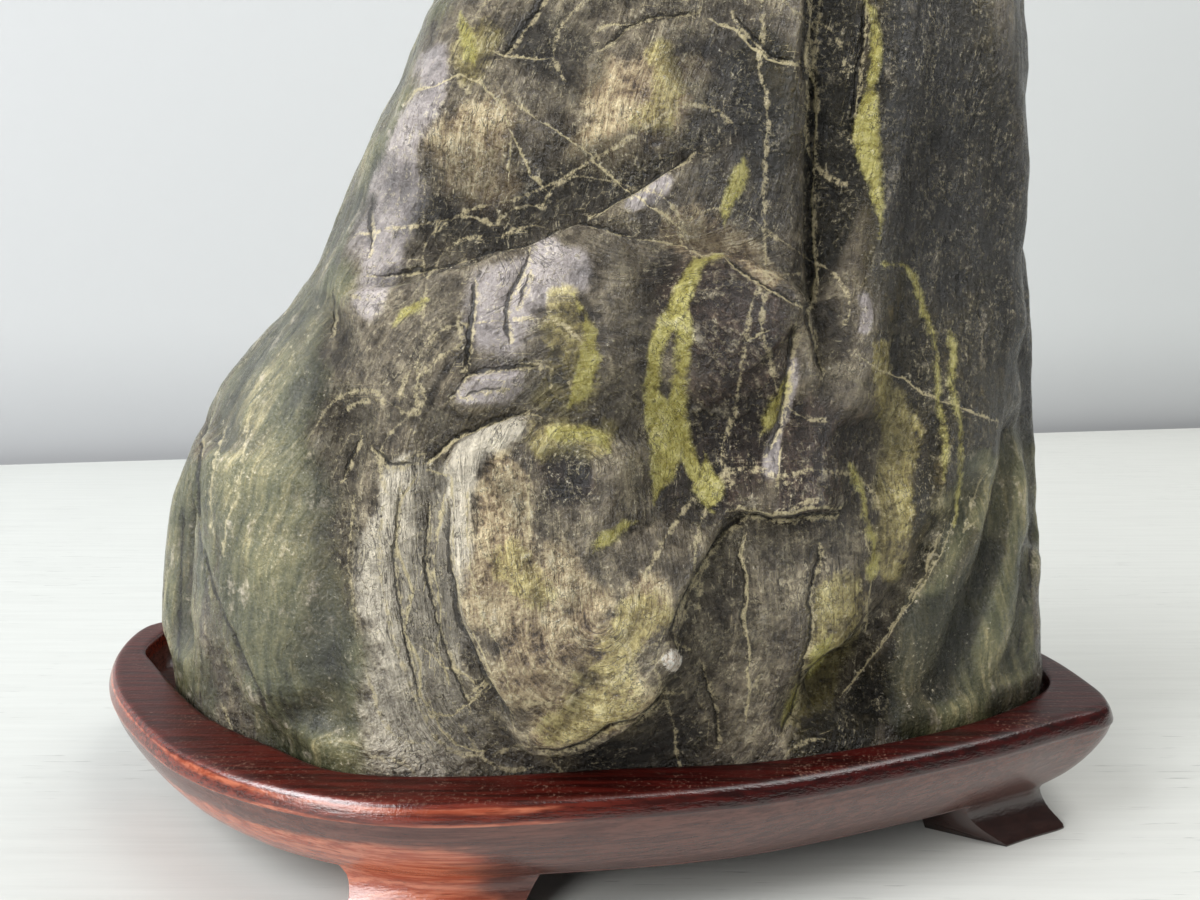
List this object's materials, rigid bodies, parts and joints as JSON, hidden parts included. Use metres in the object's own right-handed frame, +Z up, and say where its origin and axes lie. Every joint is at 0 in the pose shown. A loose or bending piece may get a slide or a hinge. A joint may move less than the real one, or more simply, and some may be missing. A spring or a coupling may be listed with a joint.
{
  "type": "scholar's rock on a carved wooden stand",
  "caption": "Tall veined viewing stone with a flat base, standing in the recess of a low carved hardwood stand with short flared feet.",
  "frame": {"origin": "on the table, under the middle of the object's box", "axes": "+X the viewer's right along the stand, -Y the front of the stone, +Z up"},
  "size_m": [0.2611, 0.116, 0.2739],
  "materials": {
    "veined_stone": "waxed dark olive and purple-grey stone with yellow-green and cream veins",
    "lacquered_wood": "glossy dark red-brown lacquer over fine-grained hardwood, worn orange along its edges"
  },
  "bodies": {
    "root": {"stone": "veined_stone", "stand": "lacquered_wood"}
  },
  "joints": []
}
